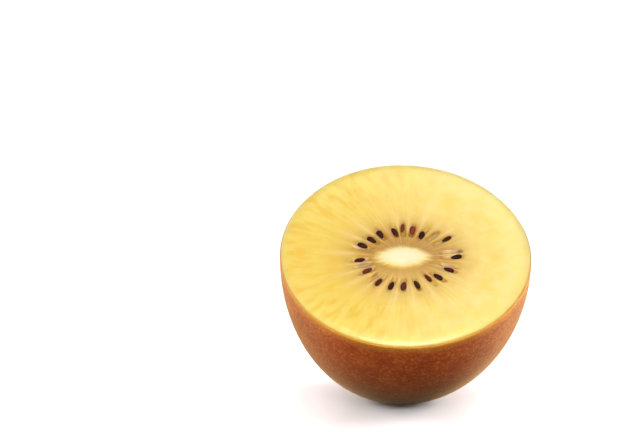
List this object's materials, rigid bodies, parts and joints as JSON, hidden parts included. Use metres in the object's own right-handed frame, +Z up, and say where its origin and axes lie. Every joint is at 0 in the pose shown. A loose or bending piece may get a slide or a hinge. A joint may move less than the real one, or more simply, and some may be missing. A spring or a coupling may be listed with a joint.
{
  "type": "golden kiwi fruit half",
  "caption": "Half of a golden kiwi fruit, cut across its middle, resting tilted on its rounded brown skin with the yellow cut face and its ring of seeds up.",
  "frame": {"origin": "middle of the small flat spot of skin that the half rests on", "axes": "+Z up; the cut face is up and tilts 31 degrees towards -Y; +X runs across the cut face, from left to right as seen from -Y"},
  "size_m": [0.054, 0.0534, 0.0485],
  "materials": {
    "flesh": "moist, translucent golden fruit flesh with soft pale rays round a cream core",
    "skin": "thin dry bronze-brown skin with fine dark specks and short down",
    "seed": "shiny dark brown seed coat",
    "stem_scar": "dry corky stem scar"
  },
  "bodies": {
    "root": {"half_kiwi": "flesh"}
  },
  "joints": []
}
